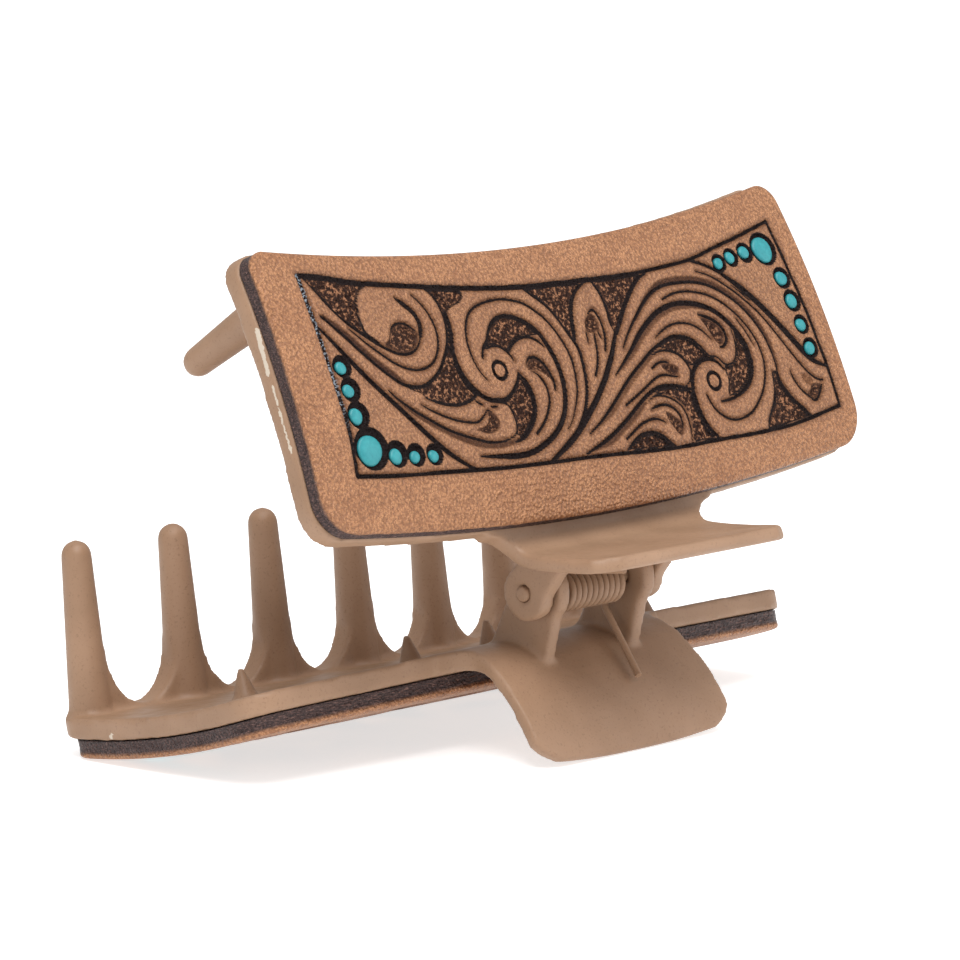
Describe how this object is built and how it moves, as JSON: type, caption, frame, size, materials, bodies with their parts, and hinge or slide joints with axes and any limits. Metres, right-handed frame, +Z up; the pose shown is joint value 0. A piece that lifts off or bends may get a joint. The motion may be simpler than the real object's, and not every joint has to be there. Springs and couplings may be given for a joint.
{
  "type": "hair claw clip",
  "caption": "A plastic hair claw clip standing open, with long teeth, a spring hinge and a tooled copper-tan leather panel with turquoise dots on each jaw.",
  "frame": {"origin": "middle of the clip's bounding box, on the floor it stands on", "axes": "+X along the hinge pin, +Y from the hinge to the lower jaw's teeth, +Z up"},
  "size_m": [0.1102, 0.076, 0.0733],
  "materials": {
    "tan_plastic": "matte coated tan plastic with worn chips",
    "tooled_leather": "copper-tan tooled leather with dark cuts, dark fibrous edges and turquoise dots",
    "painted_steel": "satin tan coat over steel wire and pin"
  },
  "bodies": {
    "lower": {"lower_jaw": "tan_plastic", "lower_leather": "tooled_leather", "hinge_pin": "painted_steel", "spring": "painted_steel"},
    "upper": {"upper_jaw": "tan_plastic", "upper_leather": "tooled_leather", "spring_leg": "painted_steel"}
  },
  "joints": [
    {"name": "jaw_hinge", "type": "hinge", "parent": "lower", "child": "upper", "pos_m": [0, -0.01508, 0.02274], "axis": [1, 0, 0], "range_deg": [-55, 60]}
  ]
}
